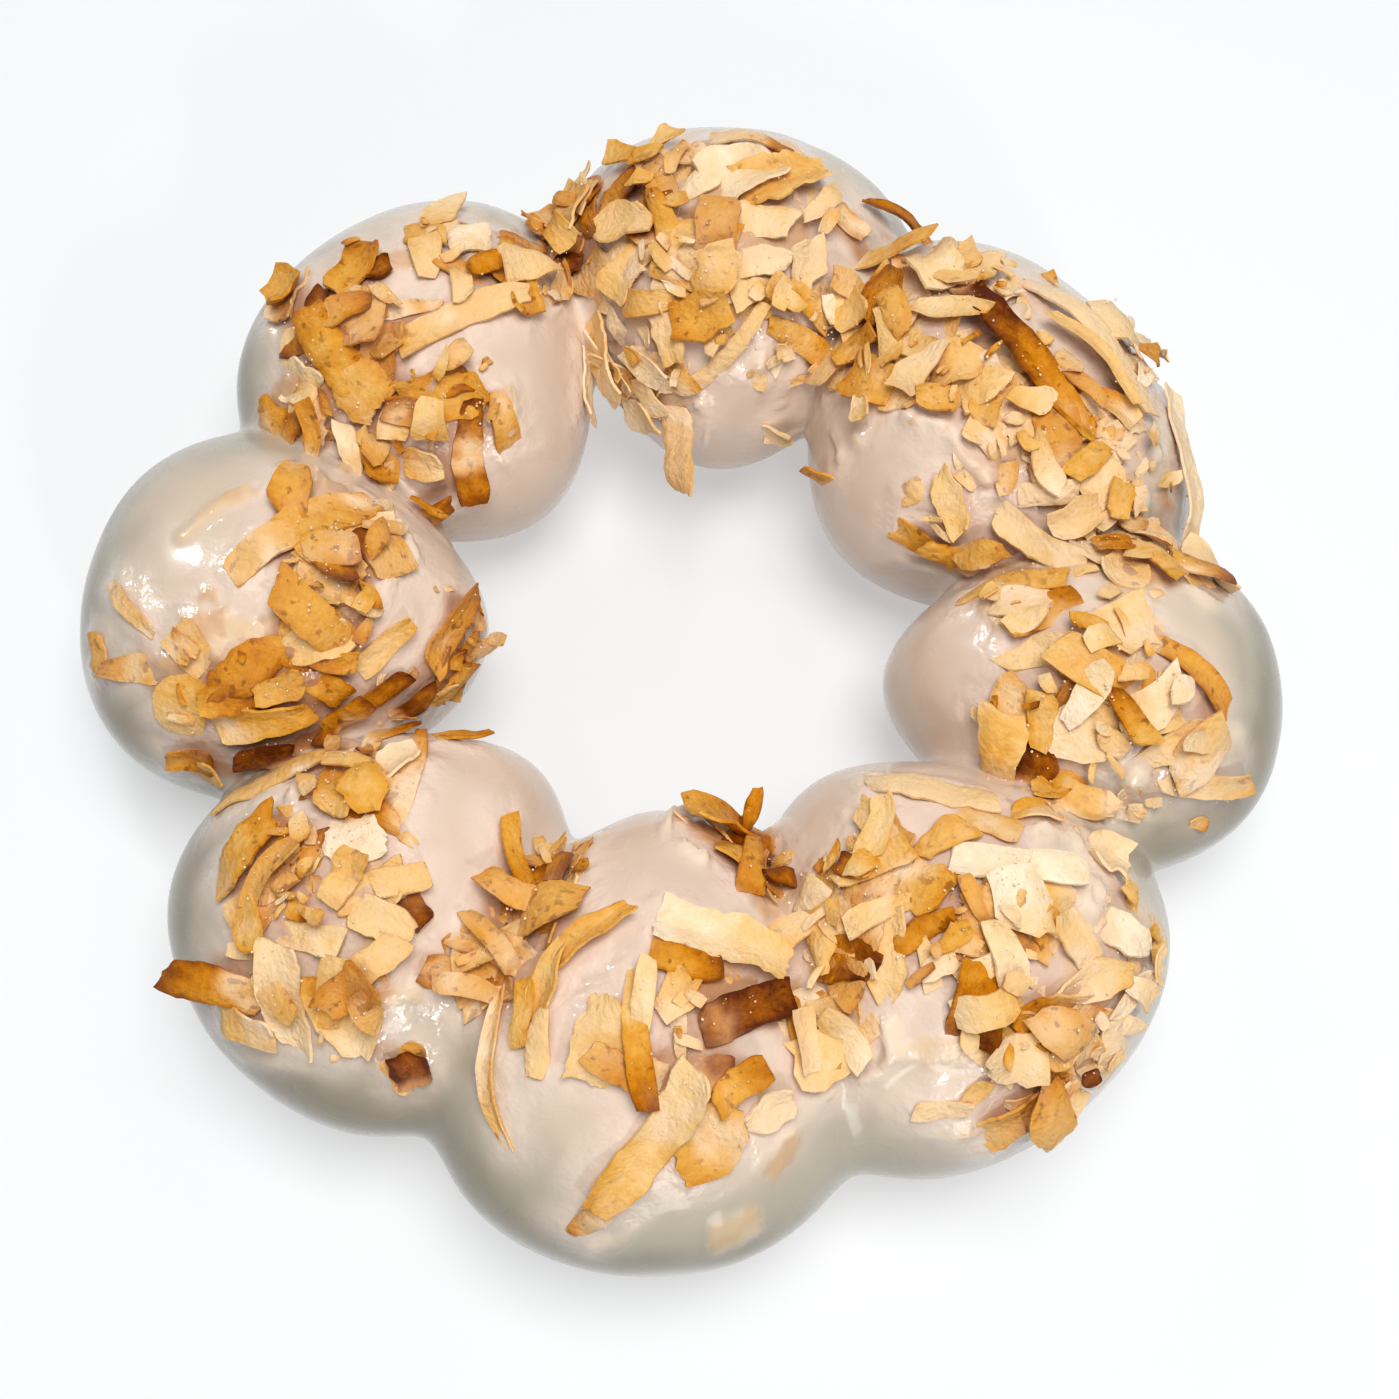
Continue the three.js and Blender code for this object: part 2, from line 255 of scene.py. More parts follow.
coconut = {
    # angle, lean, length, width, heading, tilt, toast (0 white to 1 dark), fade to the leading end and glaze
    # over it; the last two are 0 where they are left out
    "large": [
        (37, 82, 19, 2.8, -56, 4, 0.86, -0.34), (18, 33, 15, 2.4, -82, 8, 0.14, 0.05),
        (63, 42, 9, 1.6, -10, 4, 0.85, 0.1), (60, 68, 9, 2.2, -10, 6, 0.48, 0.1, 0.1),
        (82, 70, 6.8, 5.1, 24, 4, 0.1, 0, 0.35), (79, 88, 6, 3, -5, 8, 0.2, 0, 0.1),
        (71, 96, 5, 3, 90, 10, 0.22), (82, 53, 7.6, 1.8, -20, 5, 0.62, 0.1, 0.1),
        (98, 66, 5.5, 3, 20, 6, 0.74, 0.1), (104, 150, 8, 2.6, -44, 10, 0.1, 0.2, 0.1),
        (81, 133, 10, 1.4, 57, 4, 0.34, 0, 0.2), (68, 127, 7.7, 2.2, -34, 6, 0.56, 0.1),
        (88, 167, 7.6, 3.2, 261, 50, 0.5, 0.05, 0.45), (126, 102, 12, 2.5, 30, 4, 0.42, -0.1, 0.3),
        (139, 143, 9, 2.5, -85, 8, 0.84), (143, 91, 6, 4.6, -58, 8, 0.5, 0.1, 0.1),
        (135, 124, 4.6, 4, -12, 8, 0.52, 0.1), (151, 56, 5.4, 3.4, -20, 10, 0.7, 0.1),
        (169, 108, 9, 3.8, 33, 5, 0.62, 0.1, 0.1), (188, 112, 5.2, 3.2, 21, 8, 0.28, 0, 0.1),
        (181, 47, 7, 1.3, -44, 2, 0.6, 0, 0.5), (182, 156, 7.5, 2.4, 78, 8, 0.7, 0.1, 0.1),
        (195, 84, 7.8, 2.8, 17, 8, 0.5, 0.1), (205, 78, 10.6, 2.3, 2, 6, 0.46, 0.1, 0.1),
        (216, 124, 9.2, 2, 81, 10, 0.72, 0.1), (221, 97, 4.8, 4.2, -10, 8, 0.03, 0, 0.1),
        (213, 64, 7, 3, 39, 8, 0.6, 0.1), (228, 47, 8.4, 4, 90, 8, 0.2), (241, 41, 3.4, 3.3, -66, 3, 0.62),
        (222, 34, 8.2, 3, 164, 20, 0.74, 0.1), (226, 66, 5.2, 2.2, -9, 10, 0.24),
        (251, 60, 12, 1.5, 89, 3, 0.58, 0, 0.4), (246, 124, 6, 2.6, 88, 12, 0.7, 0.1),
        (256, 103, 10.5, 2, 34, 6, 0.56, 0, 0.1), (276, 110, 10, 3.6, -16, 8, 0.2, 0.15),
        (278, 87, 7.4, 3, 22, 10, 0.97), (266, 80, 10.2, 1.9, -84, 8, 0.56, 0.3),
        (267, 53, 13, 3.3, 57, 6, 0.38, -0.14), (284, 144, 7, 2.7, -24, 8, 0.66, 0.1, 0.1),
        (319, 84, 8.4, 2.5, -8, 9, 0.02), (321, 45, 4.6, 2.8, -17, 12, 0.05),
        (306, 103, 5, 3.8, -26, 8, 0.56, 0.1), (298, 90, 7, 2.6, 77, 6, 0.32, 0, 0.1),
        (314, 47, 7, 2.7, 15, 8, 0.36), (336, 126, 8.2, 3.2, 62, 6, 0.36),
        (350, 60, 8, 1.8, -39, 5, 0.66, 0, 0.1), (341, 38, 8, 2.1, -8, 8, 0.52, 0.1),
        (320, 126, 10, 2.7, -25, 4, 0.26, 0.1, 0.45), (12, 110, 8.8, 2.4, -37, 8, 0.3, 0.1),
        (6, 69, 9.5, 2.1, -64, 8, 0.42, 0.1), (2, 122, 9, 2.1, -17, 6, 0.56, 0, 0.1),
        (23, 133, 5.6, 2.4, -82, 14, 0.36), (98, 99, 4.3, 3.4, -50, 8, 0.18),
        (147, 66, 3.6, 3.8, -15, 8, 0.14), (213, 126, 3.3, 2.7, 47, 14, 0.04),
        (273, 52, 5.8, 4.3, 45, 8, 0.6), (327, 60, 3.5, 3.8, -13, 12, 0.16),
        (303, 90, 5.1, 1.8, 26, 12, 0.72), (335, 108, 4.4, 3.1, 65, 6, 0.88),
        (34, 57, 16, 2.4, -48, 3, 0.24, 0.05, 0.6),
    ],
    # smaller ones that stand out by being dark, white or upright, in the same columns
    "accents": [
        (138, 58, 2.6, 2.2, 80, 6, 0.93), (131, 66, 2.6, 2.1, 10, 8, 0.9), (151, 103, 5, 1.7, -80, 8, 0.14),
        (119, 69, 3.8, 3.4, 20, 10, 0.12), (112, 65, 4.7, 1.3, 8, 6, 0.85),
        (182, 102, 3.9, 1.4, 80, 12, 0.14), (188, 135, 5.8, 2, 54, 8, 0.42, 0.1),
        (88, 76, 3.8, 2.5, 26, 12, 0.12), (77, 102, 4.6, 2.5, 5, 10, 0.15), (106, 69, 3.5, 2.2, 0, 6, 0.88),
        (47, 91, 7, 2, -19, 8, 0.3, 0.1), (18, 100, 4.8, 2, 10, 12, 0.14),
        (349, 111, 6.2, 2.3, 10, 8, 0.28), (347, 73, 4.6, 1.2, -85, 10, 0.5),
        (306, 73, 4.3, 1.8, 27, 12, 0.14), (315, 31, 4.8, 1.5, -21, 14, 0.15),
        (309, 30, 1.6, 1.4, 0, 6, 0.95), (293, 123, 3.4, 2.2, 21, 10, 0.16),
        (279, 55, 3.9, 2.5, 26, 14, 0.16), (274, 69, 2.8, 2.8, 0, 6, 0.9),
        (239, 132, 7.9, 1.7, -73, 8, 0.66, 0.1), (282, 159, 3.5, 1.7, 85, 60, 0.7),
        (287, 139, 2.7, 1.7, 0, 4, 0.95), (233, 94, 2.6, 2.2, -52, 6, 0.92),
        (197, 34, 3.6, 2.4, 42, 30, 0.42), (220, 54, 4.8, 2.6, -62, 8, 0.5, 0.1),
        (241, 41, 3, 2.8, -66, 3, 1), (31, 67, 10.5, 1.3, -48, 4, 0.42, 0, 0.2),
        (150, 158, 4.2, 2.2, 70, 10, 0.72, 0.1), (155, 150, 3.6, 1.8, 20, 12, 0.66),
        (203, 146, 5, 2.4, 60, 10, 0.74, 0.1), (211, 154, 4.6, 2, 10, 14, 0.7),
        (226, 30, 5.6, 2.6, -6, 6, 0.5, 0.1, 0.1), (254, 92, 6, 2.1, 60, 8, 0.46, 0, 0.1),
        (252, 80, 5, 1.6, 80, 8, 0.52, 0.1), (299, 40, 3.2, 1.4, 60, 10, 0.5, 0, 0.1),
        (296, 38, 4.2, 1.5, 8, 3, 0.3, 0, 0.3), (68, 66, 3.6, 2.2, -30, 8, 0.86),
        (49, 163, 2.8, 2.5, 49, 60, 0.6, 0.1), (29, 141, 2.2, 1.9, 30, 2, 0.55, 0, 0.4),
        (196, 36, 4.6, 2.2, 30, 12, 0.7, 0.1), (189, 103, 4.8, 2.6, -10, 6, 0.62, 0.1),
        (185, 106, 4.4, 2, 50, 10, 0.5, 0.1), (192, 96, 4.2, 2.2, 30, 8, 0.56, 0, 0.1),
        (227, 90, 5, 3, 20, 6, 0.4, 0, 0.3), (231, 84, 4.6, 2.8, -30, 6, 0.36, 0, 0.4),
        (224, 86, 4.4, 2.4, 60, 8, 0.5, 0.1, 0.2), (229, 98, 4.2, 2.2, 10, 8, 0.42, 0, 0.3),
        (233, 74, 4.6, 2.4, 40, 8, 0.4, 0, 0.3), (315, 94, 5.6, 2.7, -4, 6, 0),
        (198, 74, 5, 2, 18, 8, 0.95), (199, 104, 4.4, 1.8, 30, 8, 0.97), (195, 158, 4.4, 2, 60, 10, 0.9),
        (200, 126, 4, 1.6, 70, 8, 0.88), (110, 158, 6.5, 2.2, -50, 6, 0.06, 0.1, 0.3),
        (101, 154, 6, 1.5, -52, 8, 0.1, 0, 0.2), (320, 103, 5, 2.2, -20, 8, 0.5, 0.1, 0.1),
        (326, 93, 4.4, 2, 15, 8, 0.62, 0.1), (313, 108, 4.6, 2.2, 30, 8, 0.55, 0, 0.1),
        (22, 153, 4.2, 2.2, -20, 12, 0.64, 0.1), (17, 146, 5.4, 2.2, -12, 10, 0.6, 0.1),
        (12, 138, 5.6, 2.4, -10, 8, 0.56, 0.1, 0.1), (176, 92, 6, 2.8, 38, 6, 0.56, 0, 0.3),
        (184, 30, 3.2, 2.4, 70, 4, 0.62, 0, 0.2), (255, 73, 5, 1.8, 75, 6, 0.34, 0, 0.3),
        (193, 113, 4.6, 2.2, -35, 10, 0.6, 0.1), (196, 127, 4.4, 2, 60, 12, 0.74, 0.1),
        (194, 142, 4.6, 1.8, 50, 10, 0.82, 0.1), (69, 170, 2.6, 2.2, 69, 50, 0.26, 0, 0.1),
        (262.5, 28, 4.4, 2, 52, 8, 0.7, -0.1), (261, 78, 6, 3.8, 75, 5, 0.34, 0, 0.2),
        (271, 103, 5.4, 2.4, -14, 8, 0.72, 0.1), (266, 92, 5, 1.6, 84, 8, 0.25),
        (333, 92, 4.6, 2.2, 20, 8, 0.6, 0.1), (334, 74, 4.8, 2.4, -20, 8, 0.52, 0.1, 0.1),
        (276, 65, 4.8, 2.4, 40, 10, 0.66, 0.1),
    ],
    # angle, lean, length, width, heading and toast of flakes that the glaze has run over
    "sunken": [
        (170, 72, 7.4, 1.6, 40, 0.3), (185, 73, 3.9, 2.7, 10, 0.55), (181, 76, 1.9, 1.7, 0, 0.6),
        (184, 27, 3.6, 2, -80, 0.68), (190, 60, 5.6, 1.7, -49, 0.6), (187, 84, 4.6, 3.9, 0, 0.25),
        (275, 21, 4, 3.6, 20, 0.3), (280, 39, 4.3, 1.8, 66, 0.6), (236, 64, 5.5, 1.8, 10, 0.3),
        (232, 78, 2.6, 2.2, 0, 0.5), (242, 94, 5.9, 2.6, 76, 0.3), (128, 67, 5, 1.8, -21, 0.4),
        (339, 84, 4.6, 2.3, 0, 0.35), (297, 57, 6.5, 2.2, 5, 0.2),
    ],
    # middle of each drift (angle, lean), its spread both ways, its share of the strewn flakes, its toast
    "drifts": [
        (86, 82, 17, 36, 10, 0.46), (82, 112, 24, 28, 11, 0.38), (70, 126, 13, 24, 4, 0.38),
        (95, 147, 9, 30, 3, 0.24), (118, 78, 11, 32, 6, 0.5), (140, 74, 10, 34, 5, 0.62),
        (147, 94, 10, 44, 10, 0.56), (136, 124, 11, 20, 5, 0.55), (176, 112, 16, 18, 14, 0.67),
        (183, 158, 13, 18, 3, 0.7), (197, 102, 12, 66, 13, 0.68), (219, 80, 12, 30, 10, 0.64),
        (213, 112, 9, 20, 4, 0.6), (228, 60, 10, 28, 8, 0.6), (244, 98, 5, 26, 4, 0.62),
        (247, 126, 6, 30, 6, 0.65), (275, 94, 12, 18, 8, 0.62), (272, 66, 9, 18, 7, 0.64),
        (286, 148, 11, 20, 4, 0.66), (299, 106, 11, 28, 12, 0.5), (312, 81, 12, 28, 14, 0.45),
        (308, 44, 8, 26, 8, 0.46), (287, 74, 5, 16, 4, 0.42), (335, 96, 12, 36, 12, 0.48),
        (348, 87, 9, 24, 9, 0.38), (3, 116, 10, 18, 5, 0.5), (339, 42, 5, 22, 3, 0.45),
        (52, 87, 12, 50, 8, 0.45), (35, 94, 15, 28, 11, 0.46), (24, 76, 12, 36, 9, 0.5),
        (10, 78, 13, 50, 11, 0.42), (22, 130, 8, 18, 4, 0.45), (73, 84, 9, 26, 5, 0.36),
        (31, 46, 9, 22, 4, 0.16), (319, 46, 8, 20, 4, 0.26), (221, 61, 7, 14, 4, 0.6),
        (104, 56, 7, 26, 4, 0.58), (347, 66, 5, 10, 3, 0.18),
    ],
    "draws": ["limp", "bow", "twist", "taper", "drift", "size", "round1", "round2", "lean1", "lean2",
              "slender", "heading", "tilt", "toast", "toast2", "fade", "veil", "cup", "wave", "leaf", "slant",
              "rag", "curl", "deeper"],
    "strewnLarge": 46, "accentFirst": 500, "unevenness": (0.85, 1.15), "fades": (-0.2, 0.2),
    "thickestVeil": 0.6, "toastSpread": 0.4, "toastLimits": (0.05, 0.72),
    # longest and shortest, width to length, tilt, most curl and twist, and how much deeper some sit, by kind;
    # then steps along and across in the mesh, when piled, and when held against the placed ones
    "flakes": {"lengths": (7.6, 5.0), "slenderness": (0.3, 0.55), "tilts": (3, 16), "curl": 0.2, "twist": 18,
               "deeper": 0.0, "mesh": (21, 9), "piled": (49, 13)},
    "chips": {"lengths": (6.2, 3.0), "slenderness": (0.25, 0.8), "tilts": (0, 13), "curl": 0.8, "twist": 26,
              "deeper": 0.8, "count": 960, "first": 1000, "mesh": (8, 4), "piled": (19, 9), "held": (9, 5)},
    "shreds": {"lengths": (2.9, 0.8), "slenderness": (0.2, 0.8), "tilts": (0, 24), "curl": 0.7, "twist": 34,
               "deeper": 0.5, "count": 1500, "first": 2000, "mesh": (5, 3), "piled": (11, 7), "held": (5, 3)},
    "accentPiled": (21, 11),
    "leafNarrow": (0.18, 0.6), "leafPower": (8, 2.2), "narrowest": 0.08,   # from a cut strip to a leaf
    "tear": (0.07, 0.22), "tearWidth": 3.6, "deepestTear": 0.55, "lobes": (2, 5), "lobeShare": 0.4,
    "bites": ((0.5, 1.0), (0.35, 0.5)), "dents": ((0.16, 1.5), (0.08, 0.7)), "dentWidth": 2.5,
    "slant": (-0.25, 0.25), "slantLength": 0.4, "cup": (-0.1, 0.2), "wave": 0.03,
    "limpness": (0.1, 0.9), "ballCurve": 15.0, "bow": (-0.07, 0.07), "taper": (-0.3, 0.3),
    "solidThickness": 0.9, "thickness": 0.45, "rimThinning": 0.45, "sunk": 0.35, "sharpAngle": 50,
    "rimToast": 0.14, "pileShade": 0.12,        # browner at the rim; painted shade under other flakes in the pile
    "clingReach": 0.4, "cling": 0.6, "washed": 0.8,   # glaze close to the ring and where it washed over
    "highestLift": 1.7,                         # a flake that would lie higher on the pile slips under it
    "restPercent": 80, "mostOverlap": 0.3,
    "sunkenStrewn": 60, "sunkenFirst": 4000,
}
flakeColumns = ("angle", "lean", "length", "width", "heading", "tilt", "toast", "fade", "veil")


def draw(index, purpose):
    # a seeded number from 0 to 1 for a flake and a purpose
    return hashed(index, coconut["draws"].index(purpose) + 1)


def strewnRows(index, kind):
    # each flake falls in a drift by its share, near the middle more often than far out;
    # they get smaller in turn
    drifts = np.array(coconut["drifts"], float)
    reached = np.cumsum(drifts[:, 4]) / drifts[:, 4].sum()
    drift = drifts[np.searchsorted(reached, draw(index, "drift"))]
    length = mix(*kind["lengths"], np.arange(len(index)) / len(index))
    length = length * mix(*coconut["unevenness"], draw(index, "size"))
    toast = drift[:, 5] + coconut["toastSpread"] * (draw(index, "toast") + draw(index, "toast2") - 1)
    return {
        "angle": drift[:, 0] + drift[:, 2] * (draw(index, "round1") + draw(index, "round2") - 1),
        "lean": drift[:, 1] + drift[:, 3] * (draw(index, "lean1") + draw(index, "lean2") - 1),
        "length": length,
        "width": length * mix(*kind["slenderness"], draw(index, "slender")),
        "heading": 360 * draw(index, "heading"),
        "tilt": mix(*kind["tilts"], draw(index, "tilt")),
        "toast": np.clip(toast, *coconut["toastLimits"]),
        "fade": mix(*coconut["fades"], draw(index, "fade")),
        "veil": coconut["thickestVeil"] * draw(index, "veil") ** 2,
    }


def bendRows(rows, index, kind):
    # what a flake's own draws make of its kind's bends
    rows["index"] = index
    rows["curl"] = kind["curl"] * (2 * draw(index, "curl") - 1) ** 3
    rows["twist"] = kind["twist"] * (2 * draw(index, "twist") - 1)
    rows["deeper"] = kind["deeper"] * draw(index, "deeper")
    rows["lift"] = np.zeros(len(index))
    return rows


def placedRows(table, columns=flakeColumns):
    # a table by columns, with zeros for what its rows leave out at the end
    rows = [row + (0,) * (len(columns) - len(row)) for row in table]
    return dict(zip(columns, np.array(rows, float).T))


def joinRows(*parts):
    return {key: np.concatenate([part[key] for part in parts]) for key in parts[0]}


def largeFlakes():
    # the ones that stand out, then the first and largest strewn ones: the same as in the solid
    strewn = strewnRows(np.arange(coconut["strewnLarge"]), coconut["flakes"])
    rows = joinRows(placedRows(coconut["large"]), strewn)
    return bendRows(rows, np.arange(len(rows["angle"])), coconut["flakes"])


def accentFlakes():
    rows = placedRows(coconut["accents"])
    return bendRows(rows, np.arange(len(rows["angle"])) + coconut["accentFirst"], coconut["flakes"])


def strewnFlakes(kind):
    index = np.arange(kind["count"]) + kind["first"]
    return bendRows(strewnRows(index, kind), index, kind)


def bites(along, edge, own):
    # how deep the rim is torn: coarse and fine noise along each edge of each flake
    place = np.stack(np.broadcast_arrays(along, edge, own), -1)
    return layeredNoise(place, coconut["bites"], 21)


def crumple(along, across, own):
    # how uneven the face is, in mm: shallow dents and finer grain
    place = np.stack(np.broadcast_arrays(along, across, own), -1)
    return layeredNoise(place, coconut["dents"], 23)


def flakeSheets(rows, alongSteps, acrossSteps):
    # a flake is a sheet over s (along) and c (across), both -1 to 1. Its two sides run from a cut strip to
    # a leaf, with tears along the rim; it is cupped across, droops or curls along, bows and twists
    along = np.arange(alongSteps)[None, :, None]
    across = np.arange(acrossSteps)[None, None, :]
    s = 2 * along / (alongSteps - 1) - 1
    c = 2 * across / (acrossSteps - 1) - 1
    column = {key: values[:, None, None] for key, values in rows.items()}
    chance = {key: draw(column["index"], key) for key in coconut["draws"]}
    length, width, leaf = column["length"], column["width"], chance["leaf"]
    narrow = mix(*coconut["leafNarrow"], leaf ** 3) * np.abs(s) ** mix(*coconut["leafPower"], leaf)
    taper = 1 + mix(*coconut["taper"], chance["taper"]) * s
    tear = mix(*coconut["tear"], chance["rag"]) * width * np.minimum(width / coconut["tearWidth"], 1)
    tear = np.minimum(tear, coconut["deepestTear"])
    lobes = np.sin(mix(*coconut["lobes"], chance["wave"]) * s + 6.28 * chance["rag"] + 2.4 * np.sign(c))
    own = 13.7 * column["index"]                # sets each flake apart in the noise
    torn = coconut["lobeShare"] * lobes + bites(s * length / 2, 7 * np.sign(c), own)
    side = np.maximum(width / 2 * taper * (1 - narrow) + tear * torn, coconut["narrowest"] * width)
    flat = c * side
    slant = mix(*coconut["slant"], chance["slant"]) * np.minimum(width, coconut["slantLength"] * length)
    tornEnd = bites(c * width / 2, 5 * np.sign(s) + 30, own) * np.sign(s)
    run = s * length / 2 + (slant * c + tear * tornEnd) * s ** 2
    turn = column["curl"] * s + 1e-6
    x = run * np.sin(turn) / turn
    rise = run * (1 - np.cos(turn)) / turn
    lift = width * mix(*coconut["cup"], chance["cup"]) * (c ** 2 - 0.4)
    lift = lift + coconut["wave"] * length * np.sin(3.1 * s + 6.28 * chance["wave"])
    lift = lift + np.minimum(width / coconut["dentWidth"], 1) * crumple(run, flat, own)
    twist = np.radians(column["twist"]) * s
    bow = mix(*coconut["bow"], chance["bow"]) * length * (1 - s ** 2)
    y = flat * np.cos(twist) - lift * np.sin(twist) + bow
    droop = mix(*coconut["limpness"], chance["limp"]) * length ** 2 / (8 * coconut["ballCurve"])
    z = flat * np.sin(twist) + lift * np.cos(twist) - droop * s ** 2 + rise
    return np.stack(np.broadcast_arrays(x, y, z), -1), s, c


def flakeFrames(rows):
    # foot on the glaze, then normal, along, across and out there, tilted up at the leading end
    foot = glazePoint(rows["angle"], rows["lean"])
    normal = glazeNormal(foot)
    heading = np.radians(rows["heading"])
    level = np.stack([np.cos(heading), np.sin(heading), 0 * heading], -1)
    along = unit(level - normal * (level * normal).sum(-1, keepdims=True))
    across = np.cross(normal, along)
    tilt = np.radians(rows["tilt"])[:, None]
    leading = along * np.cos(tilt) + normal * np.sin(tilt)
    out = normal * np.cos(tilt) - along * np.sin(tilt)
    return foot, normal, leading, across, out


def layFlakes(rows, alongSteps, acrossSteps):
    # the sheets laid so that the lowest point is sunk in the glaze, or lifted onto the pile
    sheet, s, c = flakeSheets(rows, alongSteps, acrossSteps)
    foot, normal, along, across, out = (part[:, None, None] for part in flakeFrames(rows))
    placed = foot + sheet[..., :1] * along + sheet[..., 1:2] * across + sheet[..., 2:] * out
    lowest = glazeDistance(placed).min((1, 2)) - coconut["solidThickness"] / 2
    shift = rows["lift"] - coconut["sunk"] - rows["deeper"] - lowest
    return placed + normal * shift[:, None, None, None], s, c


def flakeThickness(rows):
    # thin bits are thinner than the large flakes
    return np.minimum(coconut["thickness"], 0.1 * rows["width"] + 0.14)


def thickenFlakes(placed, s, c, thickness):
    # half the thickness either way along the sheet's own normal, thinner to the rim
    normal = unit(np.cross(np.gradient(placed, axis=1), np.gradient(placed, axis=2)))
    rim = 1 - coconut["rimThinning"] * np.maximum(np.abs(s), np.abs(c)) ** 6
    half = normal * (thickness[:, None, None] / 2 * rim)[..., None]
    return np.stack([placed + half, placed - half], 1)


def flakeFaces(count, alongSteps, acrossSteps):
    # top grid, bottom grid turned over, and a rim that joins their borders
    grid = np.arange(alongSteps * acrossSteps).reshape(alongSteps, acrossSteps)
    top = gridFaces(grid)
    bottom = top[:, ::-1] + grid.size
    border = np.concatenate([grid[:-1, 0], grid[-1, :-1], grid[:0:-1, -1], grid[0, :0:-1]])
    following = np.roll(border, -1)
    rim = np.stack([following, border, border + grid.size, following + grid.size], -1)
    one = np.concatenate([top, bottom, rim])
    return (one[None] + (np.arange(count) * 2 * grid.size)[:, None, None]).reshape(-1, 4)


def wetness(points):
    # coarse and finer noise: where it is high, glaze has run over the flakes
    return layeredNoise(points, ((1.0, glaze["lapSize"]), (0.5, glaze["lapSize"] / 2.4)), 11)


def flakeAttributes(rows, points, s, c):
    # toast rises to the rim and to one end, and painted shade browns it under other flakes in the pile; glaze
    # clings where a flake comes close to the ring and where it was washed over
    column = {key: values[:, None, None] for key, values in rows.items()}
    rim = np.maximum(np.abs(s), np.abs(c)) ** 4
    browned = coconut["rimToast"] * np.clip(column["toast"], 0, 1) * (rim - 0.4)
    toast = column["toast"] + column["fade"] * s + browned
    height = glazeDistance(points)
    near = np.exp(-np.maximum(height, 0) ** 2 / coconut["clingReach"] ** 2)
    # painted shade: how far a point lies below the top of the pile
    underPileShade = ease((shelter[ringSteps(points)] - height - 0.15) / 0.8)
    washed = ease((wetness(points) - 0.05) / 0.6) * ease((2.0 - height) / 0.9)
    veil = column["veil"][:, None] + coconut["cling"] * near + coconut["washed"] * washed
    grain = np.stack(np.broadcast_arrays(
        (s * column["length"] / 2)[:, None], (c * column["width"] / 2)[:, None],
        (column["index"] * 7.31 % 100)[:, None]), -1)
    return {
        "toast": (toast[:, None] + coconut["pileShade"] * underPileShade).ravel(),
        "veil": np.clip(veil, 0, 1).ravel(),
        "grain": np.broadcast_to(grain, points.shape).reshape(-1, 3),
    }


def makeFlakes(name, rows, kind, material):
    placed, s, c = layFlakes(rows, *kind["mesh"])
    points = thickenFlakes(placed, s, c, flakeThickness(rows))
    faces = flakeFaces(len(points), *kind["mesh"])
    attributes = flakeAttributes(rows, points, s, c)
    return makePiece(name, points.reshape(-1, 3), faces, material, attributes, coconut["sharpAngle"])


def pileUp(pile, topToast, rows, alongSteps, acrossSteps):
    # each flake in turn is lifted until it lies on what is under it, and then it is part of the pile
    placed = layFlakes(rows, alongSteps, acrossSteps)[0]
    around, section = ringSteps(placed)
    height = glazeDistance(placed)
    half = flakeThickness(rows) / 2
    for i in range(len(placed)):
        steps = (around[i], section[i])
        needed = np.percentile(pile[steps] + half[i] - height[i], coconut["restPercent"])
        rows["lift"][i] = needed if 0 < needed < coconut["highestLift"] else 0
        top = height[i] + rows["lift"][i] + half[i]
        topToast[steps] = np.where(top > pile[steps], rows["toast"][i], topToast[steps])
        np.maximum.at(pile, steps, top)


def runningMean(values, reaches):
    # the mean over neighbouring steps, round the ring and round the section in turn
    for axis, reach in reaches:
        values = sum(np.roll(values, step, axis) for step in range(-reach, reach + 1)) / (2 * reach + 1)
    return values


def clearOf(rows, taken, alongSteps, acrossSteps):
    # leaves out flakes of which too much would lie over the placed ones
    around, section = ringSteps(layFlakes(rows, alongSteps, acrossSteps)[0])
    keep = taken[around, section].mean((1, 2)) < coconut["mostOverlap"]
    return {key: values[keep] for key, values in rows.items()}


# materials

glazeLook = {
    "skin": ((0.0, "#dac3b0"), (0.3, "#d3c2ae"), (0.65, "#b2aa97"), (1.0, "#8a8069")),    # thinnest to thickest glaze; the dark grey-olive end is partly painted shade on the low flanks
    "gold": ((0.0, "#f3dfc0"), (0.35, "#e3bb82"), (0.6, "#cb944b"), (1.0, "#8a5218")),    # covered flakes
    # first painted brown shade low in the hole, then painted light round flakes, then painted shade between
    # flakes
    "dough": "#a0713f", "nearFlakeLight": "#f1ddcf", "crowd": "#a35c04", "nearFlakeLightShare": 0.54, "crowdShare": 0.64,
    "noises": {"cloud": (9, 3.0), "damp": (6, 2.0), "ripple": (0.9, 2.0)},     # size in mm, detail
    "cloudReach": 0.6, "roughness": (0.2, 0.32), "rippleHeight": 0.2,
}


